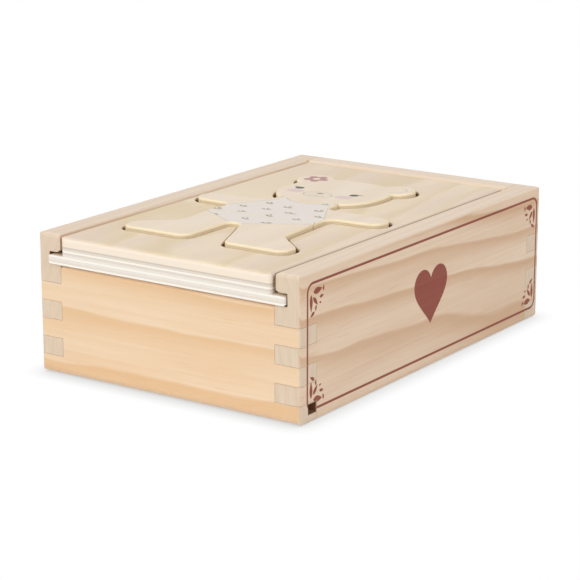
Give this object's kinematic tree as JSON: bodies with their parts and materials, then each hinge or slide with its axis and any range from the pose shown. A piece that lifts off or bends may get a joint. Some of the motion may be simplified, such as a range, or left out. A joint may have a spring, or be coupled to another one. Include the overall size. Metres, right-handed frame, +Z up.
{
  "type": "slide-lid puzzle box",
  "caption": "Finger-jointed pine box with a sliding plywood lid that is the board of a bear figure puzzle; spare figure pieces are stacked inside.",
  "frame": {"origin": "centre of the box's footprint on the surface it stands on", "axes": "+X across the box to the right seen from the lid's open end, +Y along the box away from that end, +Z up"},
  "size_m": [0.135, 0.2012, 0.064],
  "materials": {
    "pine_wall": "sanded pine, clear matt",
    "plywood_base": "sanded plywood",
    "plywood_lid": "sanded plywood, clear matt",
    "figure_wood": "printed wood with rounded edges"
  },
  "bodies": {
    "box": {"front_panel": "pine_wall", "back_panel": "pine_wall", "left_side_panel": "pine_wall", "right_side_panel": "pine_wall", "base_panel": "plywood_base"},
    "lid": {"lid_tongue_board": "plywood_lid", "lid_top_board": "plywood_lid"},
    "lid_head": {"lid_head": "figure_wood"},
    "lid_torso": {"lid_torso": "figure_wood"},
    "lid_legs": {"lid_legs": "figure_wood"},
    "stored_head_1": {"stored_head_1": "figure_wood"},
    "stored_torso_1": {"stored_torso_1": "figure_wood"},
    "stored_legs_1": {"stored_legs_1": "figure_wood"},
    "stored_head_2": {"stored_head_2": "figure_wood"},
    "stored_torso_2": {"stored_torso_2": "figure_wood"},
    "stored_legs_2": {"stored_legs_2": "figure_wood"},
    "stored_head_3": {"stored_head_3": "figure_wood"},
    "stored_torso_3": {"stored_torso_3": "figure_wood"},
    "stored_legs_3": {"stored_legs_3": "figure_wood"}
  },
  "joints": [
    {"name": "lid_slide", "type": "slide", "parent": "box", "child": "lid", "axis": [0, -1, 0], "range_m": [0, 0.19]},
    {"name": "lid_head_lift", "type": "slide", "parent": "lid", "child": "lid_head", "axis": [0, 0, 1], "range_m": [0, 0.04]},
    {"name": "lid_torso_lift", "type": "slide", "parent": "lid", "child": "lid_torso", "axis": [0, 0, 1], "range_m": [0, 0.04]},
    {"name": "lid_legs_lift", "type": "slide", "parent": "lid", "child": "lid_legs", "axis": [0, 0, 1], "range_m": [0, 0.04]},
    {"name": "stored_head_1_lift", "type": "slide", "parent": "box", "child": "stored_head_1", "axis": [0, 0, 1], "range_m": [0, 0.0034]},
    {"name": "stored_head_2_lift", "type": "slide", "parent": "stored_head_1", "child": "stored_head_2", "axis": [0, 0, 1], "range_m": [0, 0.0034]},
    {"name": "stored_head_3_lift", "type": "slide", "parent": "stored_head_2", "child": "stored_head_3", "axis": [0, 0, 1], "range_m": [0, 0.0034]},
    {"name": "stored_torso_1_lift", "type": "slide", "parent": "box", "child": "stored_torso_1", "axis": [0, 0, 1], "range_m": [0, 0.0034]},
    {"name": "stored_torso_2_lift", "type": "slide", "parent": "stored_torso_1", "child": "stored_torso_2", "axis": [0, 0, 1], "range_m": [0, 0.0034]},
    {"name": "stored_torso_3_lift", "type": "slide", "parent": "stored_torso_2", "child": "stored_torso_3", "axis": [0, 0, 1], "range_m": [0, 0.0034]},
    {"name": "stored_legs_1_lift", "type": "slide", "parent": "box", "child": "stored_legs_1", "axis": [0, 0, 1], "range_m": [0, 0.0034]},
    {"name": "stored_legs_2_lift", "type": "slide", "parent": "stored_legs_1", "child": "stored_legs_2", "axis": [0, 0, 1], "range_m": [0, 0.0034]},
    {"name": "stored_legs_3_lift", "type": "slide", "parent": "stored_legs_2", "child": "stored_legs_3", "axis": [0, 0, 1], "range_m": [0, 0.0034]}
  ]
}
